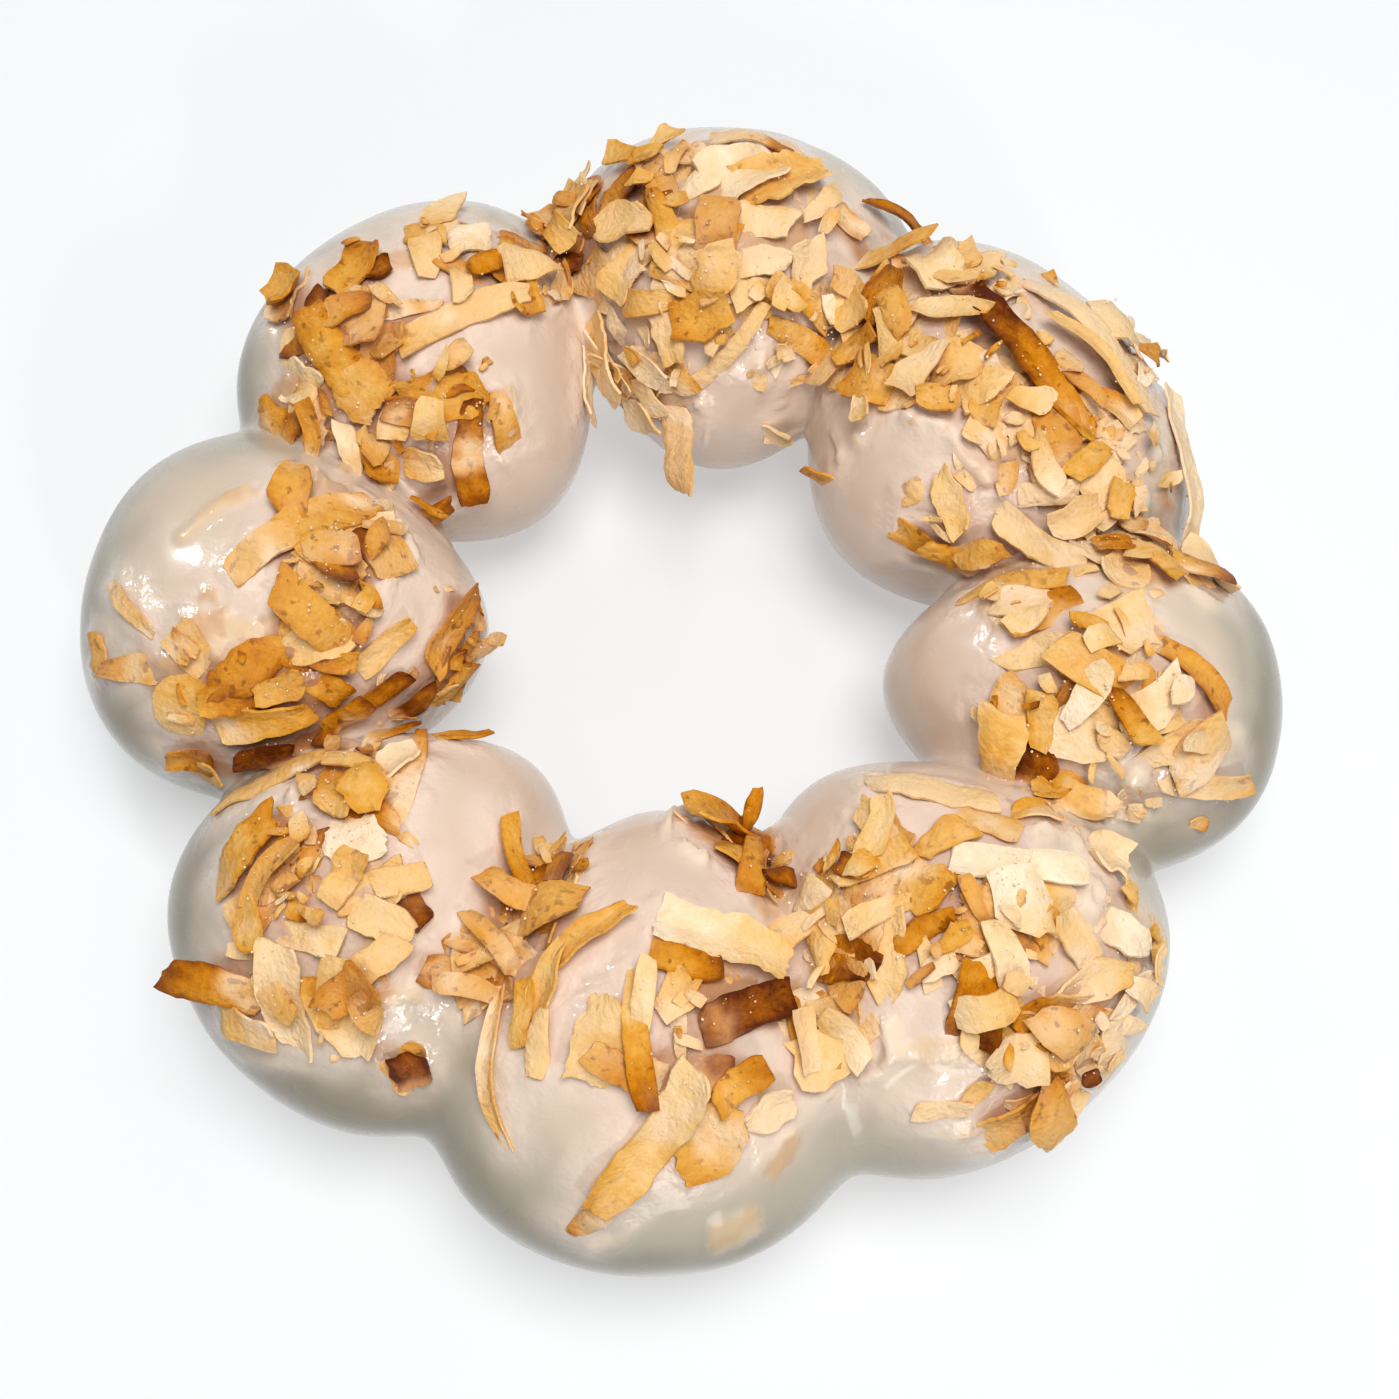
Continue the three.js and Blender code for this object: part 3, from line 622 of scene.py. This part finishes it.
def milkGlaze():
    # Milk glaze, set fondant that was poured on: pink-beige over the crowns, where it lies thinnest and the
    # dough shows through, grey-ivory where it has run down thick and darkened there partly by painted shade,
    # with a wet gloss; painted brown shade low in the hole and in the gaps between flakes, painted light
    # round the flakes;
    # flakes that it covers show through as soft gold.
    material, tree = newMaterial("milkGlaze")
    place = addNode(tree, "ShaderNodeTexCoord").outputs["Object"]
    read = {name: addNode(tree, "ShaderNodeAttribute", {"attribute_name": name}).outputs["Fac"]
            for name in ("thickAndShaded", "nearFlakesAndLight", "crowded", "thin", "sunken", "sunkenToast")}
    noise = {name: addNode(tree, "ShaderNodeTexNoise", {}, {
        "Vector": place, "Scale": 1 / (size * mm), "Detail": detail}).outputs["Fac"]
        for name, (size, detail) in glazeLook["noises"].items()}
    reach = glazeLook["cloudReach"]
    shifted = addNode(tree, "ShaderNodeMath", {"operation": "MULTIPLY_ADD"},
                      {0: noise["cloud"], 1: reach, 2: -reach / 2}).outputs[0]
    depth = addNode(tree, "ShaderNodeMath", {"operation": "ADD", "use_clamp": True},
                    {0: read["thickAndShaded"], 1: shifted}).outputs[0]
    skin = addNode(tree, "ShaderNodeValToRGB", {}, {"Fac": depth}, glazeLook["skin"])
    skin.color_ramp.interpolation = "EASE"
    gold = addNode(tree, "ShaderNodeValToRGB", {}, {"Fac": read["sunkenToast"]}, glazeLook["gold"])
    colour = skin.outputs["Color"]
    # in turn: painted brown shade in the hole, painted light round flakes, gold of covered flakes, painted
    # shade between flakes
    for layer, share, tint in (
            ("thin", 1.0, hexToLinear(glazeLook["dough"])),
            ("nearFlakesAndLight", glazeLook["nearFlakeLightShare"], hexToLinear(glazeLook["nearFlakeLight"])),
            ("sunken", 1.0, gold.outputs["Color"]),
            ("crowded", glazeLook["crowdShare"], hexToLinear(glazeLook["crowd"]))):
        amount = addNode(tree, "ShaderNodeMath", {"operation": "MULTIPLY"}, {0: read[layer], 1: share})
        colour = addNode(tree, "ShaderNodeMix", {"data_type": "RGBA"},
                         {0: amount.outputs[0], 6: colour, 7: tint}).outputs[2]
    smooth, dull = glazeLook["roughness"]
    rough = addNode(tree, "ShaderNodeMapRange", {"interpolation_type": "SMOOTHSTEP"}, {
        "Value": noise["damp"], "From Min": 0.3, "From Max": 0.7, "To Min": smooth, "To Max": dull})
    rippled = addNode(tree, "ShaderNodeMath", {"operation": "MULTIPLY"},
                      {0: noise["ripple"], 1: read["nearFlakesAndLight"]})
    bump = addNode(tree, "ShaderNodeBump", {}, {
        "Height": rippled.outputs[0], "Strength": 0.9, "Distance": glazeLook["rippleHeight"] * mm})
    normal = bump.outputs["Normal"]
    shader = addNode(tree, "ShaderNodeBsdfPrincipled", {}, {
        "Base Color": colour, "Roughness": rough.outputs["Result"], "Normal": normal, "Coat Normal": normal,
        "IOR": 1.42, "Coat Weight": 0.5, "Coat Roughness": 0.06, "Coat IOR": 1.45})
    addNode(tree, "ShaderNodeOutputMaterial", {}, {"Surface": shader.outputs["BSDF"]})
    return material


coconutLook = {
    "flesh": ((0.0, "#f6e4c8"), (0.2, "#efcf9f"), (0.38, "#e7bb74"), (0.55, "#dc9f3c"), (0.72, "#c67b08"),
              (0.87, "#8f4a00"), (1.0, "#562100")),                            # white to dark
    "noises": {"blotch": (2.4, 4.0, 0.72), "film": (2.4, 1.0, 0.5), "speck": (0.9, 2.0, 0.5),
               "fibre": (0.5, 3.0, 0.5)},                                      # size in mm, detail, roughness
    "mottle": 0.6, "burnt": "#8a4a00", "burntMost": 0.8, "film": "#f2dac2", "filmShare": 0.6,
    "filmToast": 0.3, "roughness": (0.58, 0.25), "fibreHeight": 0.25,
}


def toastedCoconut():
    # Coconut flesh, shaved thin and oven toasted: waxy cream where pale, golden to dark brown where it
    # caught, with burnt specks, mottled at the scale of its fibres, and filmed with glaze where it touches
    # the ring.
    material, tree = newMaterial("toastedCoconut")
    grain = addNode(tree, "ShaderNodeAttribute", {"attribute_name": "grain"}).outputs["Vector"]
    # the toast also carries painted shade where a flake lies under others
    toast = addNode(tree, "ShaderNodeAttribute", {"attribute_name": "toast"}).outputs["Fac"]
    veil = addNode(tree, "ShaderNodeAttribute", {"attribute_name": "veil"}).outputs["Fac"]
    noise = {name: addNode(tree, "ShaderNodeTexNoise", {}, {
        "Vector": grain, "Scale": 1 / size, "Detail": detail, "Roughness": coarse}).outputs["Fac"]
        for name, (size, detail, coarse) in coconutLook["noises"].items()}
    mottle = coconutLook["mottle"]
    caught = addNode(tree, "ShaderNodeMath", {"operation": "MULTIPLY_ADD"},
                     {0: noise["blotch"], 1: mottle, 2: -mottle / 2}).outputs[0]
    shade = addNode(tree, "ShaderNodeMath", {"operation": "ADD", "use_clamp": True}, {0: toast, 1: caught})
    patchy = addNode(tree, "ShaderNodeMapRange", {}, {
        "Value": noise["film"], "From Min": 0.3, "From Max": 0.7, "To Min": 0.2, "To Max": 1.2})
    covered = addNode(tree, "ShaderNodeMath", {"operation": "MULTIPLY", "use_clamp": True},
                      {0: veil, 1: patchy.outputs["Result"]}).outputs[0]
    paler = addNode(tree, "ShaderNodeMix", {"data_type": "FLOAT"},
                    {0: covered, 2: shade.outputs[0], 3: coconutLook["filmToast"]}).outputs[0]
    flesh = addNode(tree, "ShaderNodeValToRGB", {}, {"Fac": paler}, coconutLook["flesh"])
    burnt = addNode(tree, "ShaderNodeMapRange", {}, {
        "Value": noise["speck"], "From Min": 0.6, "From Max": 0.68}).outputs["Result"]
    prone = addNode(tree, "ShaderNodeMapRange", {}, {
        "Value": toast, "From Min": 0.4, "From Max": 0.66,
        "To Max": coconutLook["burntMost"]}).outputs["Result"]
    colour = flesh.outputs["Color"]
    for one, other, tint in ((burnt, prone, "burnt"), (covered, coconutLook["filmShare"], "film")):
        amount = addNode(tree, "ShaderNodeMath", {"operation": "MULTIPLY"}, {0: one, 1: other}).outputs[0]
        colour = addNode(tree, "ShaderNodeMix", {"data_type": "RGBA"},
                         {0: amount, 6: colour, 7: hexToLinear(coconutLook[tint])}).outputs[2]
    dry, wet = coconutLook["roughness"]
    rough = addNode(tree, "ShaderNodeMapRange", {}, {"Value": veil, "To Min": dry, "To Max": wet})
    bump = addNode(tree, "ShaderNodeBump", {}, {
        "Height": noise["fibre"], "Strength": 0.9, "Distance": coconutLook["fibreHeight"] * mm})
    normal = bump.outputs["Normal"]
    shader = addNode(tree, "ShaderNodeBsdfPrincipled", {}, {
        "Base Color": colour, "Roughness": rough.outputs["Result"], "Normal": normal, "Coat Normal": normal,
        "IOR": 1.45, "Specular IOR Level": 0.12, "Coat Weight": 0.12, "Coat Roughness": 0.12})
    addNode(tree, "ShaderNodeOutputMaterial", {}, {"Surface": shader.outputs["BSDF"]})
    return material


# lay the coconut, the large flakes first and the rest on top of them

large = largeFlakes()
accents = accentFlakes()
chips = strewnFlakes(coconut["chips"])
shreds = strewnFlakes(coconut["shreds"])
pile = np.zeros((glaze["stepsAround"], glaze["stepsSection"]))
topToast = np.zeros(pile.shape)
# the large ones stay where the solid has them, so what they would be lifted by is dropped
pileUp(pile, topToast, {**large, "lift": np.zeros(len(large["angle"]))}, *coconut["flakes"]["piled"])
pileUp(pile, topToast, accents, *coconut["accentPiled"])
placedLarge = {key: values[:len(coconut["large"])] for key, values in large.items()}
taken = np.zeros(pile.shape, bool)
for placedOnes in (placedLarge, accents):
    taken[ringSteps(layFlakes(placedOnes, *coconut["flakes"]["piled"])[0])] = True
chips = clearOf(chips, taken, *coconut["chips"]["held"])
shreds = clearOf(shreds, taken, *coconut["shreds"]["held"])
pileUp(pile, topToast, chips, *coconut["chips"]["piled"])
pileUp(pile, topToast, shreds, *coconut["shreds"]["piled"])
shelter = runningMean(np.maximum(pile, 0), ((0, 3), (1, 2)))
coconutMaterial = toastedCoconut()
flakePieces = [
    makeFlakes("coconut_flakes", joinRows(large, accents), coconut["flakes"], coconutMaterial),
    makeFlakes("coconut_chips", chips, coconut["chips"], coconutMaterial),
    makeFlakes("coconut_shreds", shreds, coconut["shreds"], coconutMaterial),
]
print("coconut:", len(large["angle"]), "flakes,", len(accents["angle"]), "accents,",
      len(chips["angle"]), "chips and", len(shreds["angle"]), "shreds")


# the ring that the coconut sits in

def sunkenFlakes():
    # flakes under the glaze: the ones that show, and more from the drifts
    placed = placedRows(coconut["sunken"], ("angle", "lean", "length", "width", "heading", "toast"))
    index = np.arange(coconut["sunkenStrewn"]) + coconut["sunkenFirst"]
    strewn = strewnRows(index, coconut["chips"])
    rows = joinRows(placed, strewn)
    rows["tilt"] = np.zeros(len(rows["angle"]))
    return rows


def nearColumns(angle, reach):
    # the steps round the ring within a reach of an angle, taken at the inner side where they are closest
    turn = int(np.ceil(reach / glaze["innerRadius"] / (2 * np.pi) * glaze["stepsAround"]))
    middle = int(round(angle / 360 * glaze["stepsAround"]))
    return np.arange(middle - turn, middle + turn + 1) % glaze["stepsAround"]


def drawnUp(points, rows):
    # glaze rises round each flake that touches it; near the coconut it folds, ripples and gets painted light
    rise = np.zeros(points.shape[:2])
    nearFlakesAndLight = np.zeros(points.shape[:2])
    foot, _, along, across, out = flakeFrames(rows)
    for i in range(len(foot)):
        span = nearColumns(rows["angle"][i], rows["length"][i] / 2 + 2 * glaze["nearFlakeReach"])
        rel = points[span] - foot[i]
        a = np.maximum(np.abs(rel @ along[i]) - rows["length"][i] / 2, 0)
        b = np.maximum(np.abs(rel @ across[i]) - rows["width"][i] / 2, 0)
        h = np.abs(rel @ out[i])
        gap = a ** 2 + b ** 2
        touching = rows["lift"][i] < glaze["meniscusLift"]
        close = np.exp(-gap / glaze["meniscusReach"] ** 2 - h ** 2) * touching
        wide = np.exp(-(gap + h ** 2) / glaze["nearFlakeReach"] ** 2)
        rise[span] = np.maximum(rise[span], close)
        nearFlakesAndLight[span] = np.maximum(nearFlakesAndLight[span], wide * min(1, rows["length"][i] / glaze["nearFlakeLength"]))
    return rise, nearFlakesAndLight


def crowded():
    # painted brown shade where flakes closely surround each step: a mask of what they cover, smoothed twice,
    # more where they are dark
    reaches = ((0, 4), (1, 2), (0, 4), (1, 2))
    mask = (pile > 0.05).astype(float)
    share = runningMean(mask, reaches)
    toasty = runningMean(mask * topToast, reaches) / np.maximum(share, 0.01)
    darker = mix(glaze["crowdPale"], 1.0, ease(between(toasty, *glaze["crowdToasts"])))
    return ease(between(share, *glaze["crowdShares"])) * darker


def lappedOver(points):
    # patches of noise where glaze has run over the flakes that lie low, less over the ones that stand out;
    # there it follows the tops of the flakes, each step's highest neighbour smoothed
    near = ((0, 0), (0, 1), (0, -1), (1, 0), (-1, 0))
    tops = np.max([np.roll(pile, shift, (0, 1)) for shift in near], axis=0)
    tops = runningMean(np.maximum(tops, 0), ((0, 3), (1, 2), (0, 2), (1, 1)))
    spared = 2 * runningMean(taken.astype(float), ((0, 4), (1, 2)))
    lap = ease((wetness(points) + glaze["lapShare"] - spared) / glaze["lapFade"])
    lap = lap * ease((glaze["lapHighest"] - tops) / glaze["lapFade"])
    return lap, lap * (tops + glaze["lapFilm"] * (tops > 0.02)), ease(tops / 0.25)


def coveredOver(points, rows):
    # soft-edged patches where a flake lies under the glaze, and how toasted it is
    patch = np.zeros(points.shape[:2])
    toast = np.zeros(points.shape[:2])
    foot, _, along, across, out = flakeFrames(rows)
    (coarse, coarseSize), (fine, fineSize) = glaze["sunkenWander"]
    for i in range(len(foot)):
        span = nearColumns(rows["angle"][i], rows["length"][i] / 2 + 2)
        rel = points[span] - foot[i]
        wander = coarse * softNoise(points[span], coarseSize, i)
        wander = wander + fine * softNoise(points[span], fineSize, i + 50)
        a = rows["length"][i] / 2 - np.abs(rel @ along[i]) + wander
        b = rows["width"][i] / 2 - np.abs(rel @ across[i]) + wander
        mask = ease(np.minimum(a, b) / glaze["sunkenEdge"] + 0.35) * (np.abs(rel @ out[i]) < 4)
        toast[span] = np.where(mask > patch[span], rows["toast"][i] + 0.4 * wander, toast[span])
        patch[span] = np.maximum(patch[span], mask)
    return patch, toast


def glazedRing():
    # the surface of the balls, moved along its normal by lumps, runs, folds, dimples and what flakes do to it
    angle, lean = ringGrid()
    points = glazePoint(angle, lean)
    normal = glazeNormal(points)
    rise, nearFlakesAndLight = drawnUp(points, joinRows(large, accents, chips, shreds))
    patch, patchToast = coveredOver(points, sunkenFlakes())
    lap, lapRise, overFlake = lappedOver(points)
    height = points[..., 2]
    flank = between(height, *glaze["runBand"]) * between(height, *glaze["footBand"])
    lumps = glaze["lumpHeight"] * softNoise(points, glaze["lumpSize"], 1)
    runs = glaze["runHeight"] * flank * softNoise(points * (1, 1, glaze["runStretch"]), glaze["runSize"], 2)
    ridges = softNoise(points, glaze["foldSize"], 3) + 0.4 * softNoise(points, glaze["foldSize"] / 2, 6)
    folds = glaze["foldHeight"] * np.clip(nearFlakesAndLight * 1.8 - 0.2, 0, 1) * (0.5 - np.abs(ridges))
    dimples = softNoise(points, glaze["dimpleSize"], 8) * between(height, *glaze["dimpleBand"])
    off = lumps * (1 - 0.6 * nearFlakesAndLight) + runs + folds + glaze["dimpleHeight"] * dimples
    off = off + glaze["meniscusRise"] * rise + glaze["sunkenRise"] * patch + lapRise
    points = points + normal * (off * between(height, *glaze["groundBand"]))[..., None]
    points[..., 2] = np.maximum(points[..., 2], 0)
    outer = ease(between(lean, *glaze["outerLeans"]))
    # darker and greyer down the flanks: partly thicker glaze, partly painted shade, set for each ball and
    # eased off low down
    thickAndShaded = mix(between(height, *glaze["innerPool"]), between(height, *glaze["outerPool"]), outer)
    thickAndShaded = thickAndShaded * np.interp(angle, [ball[0] for ball in glaze["balls"]], glaze["poolingAndShade"], period=360)
    thickAndShaded = thickAndShaded * (1 - glaze["shadeEasedLow"] * ease(between(height, *glaze["shadeEasedBand"])))
    lapped = lap * overFlake
    # colour masks: partly painted shade down the flanks, painted light round flakes, painted brown shade
    # between flakes and in the hole
    attributes = {
        "thickAndShaded": thickAndShaded, "nearFlakesAndLight": nearFlakesAndLight, "crowded": crowded() * (1 - lap),
        "thin": glaze["thin"] * (1 - outer) * ease(between(height, *glaze["thinBand"])),
        "sunken": np.maximum(0.55 * patch, 0.5 * lapped),
        "sunkenToast": np.where(lapped > patch, 0.85 * topToast, patchToast),
    }
    attributes = {key: values.ravel() for key, values in attributes.items()}
    steps = np.arange(angle.size).reshape(angle.shape)
    ahead, over = np.roll(steps, -1, 0), np.roll(steps, -1, 1)
    faces = np.stack([steps, ahead, np.roll(ahead, -1, 1), over], -1).reshape(-1, 4)
    return makePiece("glazed_ring", points.reshape(-1, 3), faces, milkGlaze(), attributes)


ringPiece = glazedRing()
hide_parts("doughnut")
print("ring:", len(ringPiece.data.polygons), "faces")


# beads of glaze spattered over the coconut

beads = {"count": 1300, "first": 5000, "radii": (0.04, 0.12), "sunk": 0.3}


def beadShape():
    # a cube with two by two faces a side, blown up to a ball: 26 corners and 24 faces
    corners = np.delete(np.array(list(np.ndindex(3, 3, 3))) - 1.0, 13, axis=0)
    number = np.arange(27).reshape(3, 3, 3)
    number = number - (number > 13)
    faces = []
    for axis in range(3):
        for level in (0, 2):
            sheet = np.take(number, level, axis)
            side = gridFaces(sheet)
            outward = (level == 2) == (axis != 1)
            faces.append(side if outward else side[:, ::-1])
    return unit(corners), np.concatenate(faces)


def wetBead():
    # Drops of the same milk glaze, still wet: pale and glassy, they catch the light as small sparks.
    material, tree = newMaterial("wetBead")
    place = addNode(tree, "ShaderNodeTexCoord").outputs["Object"]
    cloud = addNode(tree, "ShaderNodeTexNoise", {}, {"Vector": place, "Scale": 1 / (4 * mm)})
    colour = addNode(tree, "ShaderNodeValToRGB", {}, {"Fac": cloud.outputs["Fac"]}, ramp=(
        (0.35, "#e6c9a4"), (0.65, "#f6e4cd"))).outputs["Color"]
    shader = addNode(tree, "ShaderNodeBsdfPrincipled", {}, {
        "Base Color": colour, "Roughness": 0.1, "IOR": 1.42, "Coat Weight": 1.0, "Coat Roughness": 0.03})
    addNode(tree, "ShaderNodeOutputMaterial", {}, {"Surface": shader.outputs["BSDF"]})
    return material


def glazeBeads():
    # each bead lies on the top of the pile where a chip might have fallen, partly sunk in it
    index = np.arange(beads["count"]) + beads["first"]
    rows = strewnRows(index, coconut["chips"])
    foot = glazePoint(rows["angle"], rows["lean"])
    radius = mix(*beads["radii"], draw(index, "size") ** 2)
    top = np.maximum(pile[ringSteps(foot)], 0) + radius * (1 - 2 * beads["sunk"])
    middle = foot + glazeNormal(foot) * top[:, None]
    shape, faces = beadShape()
    points = middle[:, None] + shape * radius[:, None, None]
    faces = (faces[None] + (np.arange(len(index)) * len(shape))[:, None, None]).reshape(-1, 4)
    return makePiece("glaze_beads", points.reshape(-1, 3), faces, wetBead())


beadPiece = glazeBeads()
for piece in (ringPiece, beadPiece, *flakePieces):
    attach(piece, "root")
print("beads:", beads["count"])


# studio: pale floor, soft light, camera

studio = {
    "imageSize": 1399, "elevation": 69.0, "distance": 160.0, "target": (1.6, -4.4, 13.0),
    "pixelsPerMm": 12.0, "sensor": 36.0, "nearest": 5.0,
    "floorColour": "#b8bcc0", "floorGlow": 0.42, "floorRadius": 1500.0, "floorFlat": 450.0,
    "floorRise": 1400.0, "floorSteps": (97, 31), "worldColour": "#f2f4f8", "worldStrength": 0.23,
    "fromBelow": 0.7, "horizon": (-0.3, 0.0),   # what the floor throws back up, and where that sets in
    # place, size, power, whether it lights the surface, whether the gloss mirrors it, colour if not white
    "lights": {
        "overhead": ((45, -20, 425), 200, 1.35, True, False, "#fffaf4"),
        "sheen": ((20, -10, 440), 240, 0.25, True, True),
        "backLeft": ((-290, 150, 235), 52, 0.4, False, True),
        "front": ((120, -340, 230), 36, 0.36, True, True),
        "back": ((-200, 215, 330), 16, 0.05, True, True),
        "frontLow": ((50, -380, 120), 165, 0.3, False, True),
        "backFill": ((-60, 430, 190), 150, 0.26, True, False),
    },
}


def paleFloor():
    # level with the ring's underside, then rising as the square of the distance, so that no edge shows
    around, outwards = studio["floorSteps"]
    turn, out = np.meshgrid(np.linspace(0, 2 * np.pi, around),
                            np.linspace(0, studio["floorRadius"], outwards), indexing="ij")
    rise = np.maximum(out - studio["floorFlat"], 0) ** 2 / studio["floorRise"]
    points = np.stack([out * np.cos(turn), out * np.sin(turn), rise], -1)
    steps = np.arange(turn.size).reshape(turn.shape)
    faces = gridFaces(steps)[:, ::-1]
    material, tree = newMaterial("paleFloor")
    shader = addNode(tree, "ShaderNodeBsdfPrincipled", {}, {
        "Base Color": hexToLinear(studio["floorColour"]), "Roughness": 0.9, "Specular IOR Level": 0.1,
        "Emission Color": hexToLinear("#ffffff"), "Emission Strength": studio["floorGlow"]})
    addNode(tree, "ShaderNodeOutputMaterial", {}, {"Surface": shader.outputs["BSDF"]})
    floor = makePiece("floor", points.reshape(-1, 3), faces, material)
    floor.visible_diffuse = False                # what it throws back up is set by fromBelow


def softBox(name, place, size, power, lights, mirrored, colour="#ffffff"):
    # a square area light aimed at the ring
    lamp = bpy.data.lights.new(name, "AREA")
    lamp.shape, lamp.size, lamp.energy = "SQUARE", size * mm, power
    lamp.color = hexToLinear(colour)[:3]
    light = bpy.data.objects.new(name, lamp)
    bpy.context.scene.collection.objects.link(light)
    light.location = np.array(place) * mm
    light.rotation_euler = (-light.location).to_track_quat("-Z", "Y").to_euler()
    light.visible_diffuse = lights
    light.visible_glossy = mirrored


def photoCamera():
    # looks along +Y and down, at the distance where the photo's pixels per millimetre hold at the target
    data = bpy.data.cameras.new("camera")
    pixels = studio["pixelsPerMm"] * studio["distance"]
    data.sensor_width = studio["sensor"]
    data.lens = pixels / studio["imageSize"] * studio["sensor"]
    camera = bpy.data.objects.new("camera", data)
    bpy.context.scene.collection.objects.link(camera)
    rise = np.radians(studio["elevation"])
    back = np.array([0.0, -np.cos(rise), np.sin(rise)]) * studio["distance"]
    camera.location = (np.array(studio["target"]) + back) * mm
    camera.rotation_euler = (np.pi / 2 - rise, 0.0, 0.0)
    data.clip_start = studio["nearest"] * mm
    bpy.context.scene.camera = camera


def studioWorld():
    # an even pale light, stronger from below the horizon, where it stands for what the floor throws back
    world = bpy.data.worlds.new("studio")
    world.use_nodes = True
    tree = world.node_tree
    sight = addNode(tree, "ShaderNodeTexCoord").outputs["Generated"]
    rise = addNode(tree, "ShaderNodeSeparateXYZ", {}, {"Vector": sight}).outputs["Z"]
    low, high = studio["horizon"]
    strength = addNode(tree, "ShaderNodeMapRange", {"interpolation_type": "SMOOTHSTEP"}, {
        "Value": rise, "From Min": low, "From Max": high,
        "To Min": studio["fromBelow"], "To Max": studio["worldStrength"]}).outputs["Result"]
    background = tree.nodes["Background"]
    background.inputs["Color"].default_value = hexToLinear(studio["worldColour"])
    tree.links.new(strength, background.inputs["Strength"])
    bpy.context.scene.world = world


paleFloor()
for name, values in studio["lights"].items():
    softBox(name, *values)
studioWorld()
bpy.context.scene.view_settings.view_transform = "Standard"
photoCamera()
print("studio ready")
